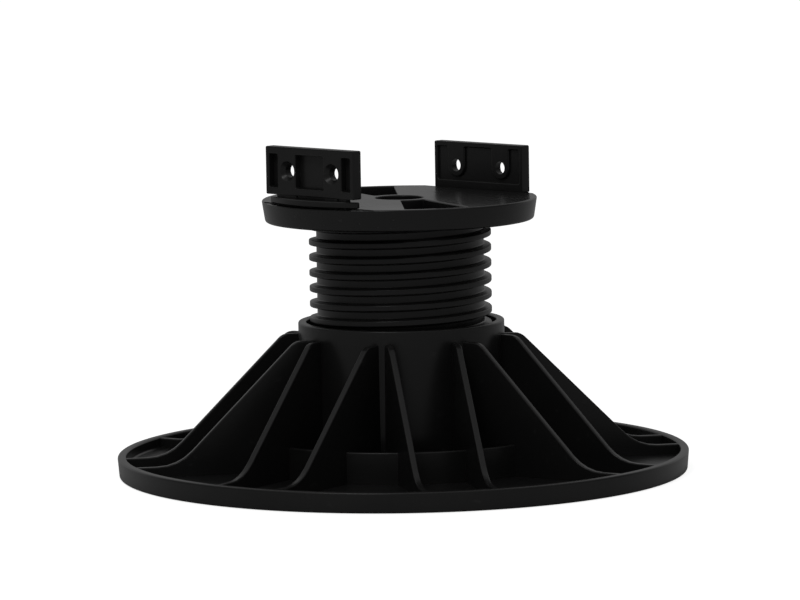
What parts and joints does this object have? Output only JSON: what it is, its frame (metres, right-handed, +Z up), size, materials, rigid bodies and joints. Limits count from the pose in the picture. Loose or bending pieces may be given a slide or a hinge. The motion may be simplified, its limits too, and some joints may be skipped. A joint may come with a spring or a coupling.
{
  "type": "adjustable deck pedestal",
  "caption": "Height-adjustable plastic deck pedestal: round ribbed base with a threaded socket, coarse screw post and a flat swivel head with upright joist brackets.",
  "frame": {"origin": "centre of the base's underside, on the ground", "axes": "+Z up along the screw axis, joist along Y, brackets at -X and +X"},
  "size_m": [0.2, 0.2, 0.1158],
  "materials": {
    "black_polypropylene": "satin moulded"
  },
  "bodies": {
    "base": {"base": "black_polypropylene"},
    "head": {"head_plate": "black_polypropylene", "joist_bracket_left": "black_polypropylene", "joist_bracket_right": "black_polypropylene"},
    "post": {"threaded_post": "black_polypropylene"}
  },
  "joints": [
    {"name": "height_adjust", "type": "slide", "parent": "base", "child": "head", "axis": [0, 0, 1], "range_m": [-0.033, 0.005]},
    {"name": "post_turn", "type": "hinge", "parent": "head", "child": "post", "pos_m": [0, 0, 0.0881], "axis": [0, 0, 1], "range_deg": [-2210, 340]}
  ],
  "couplings": [
    {"joint": "post_turn", "follows": "height_adjust", "rad_per_m": 1163.6}
  ]
}
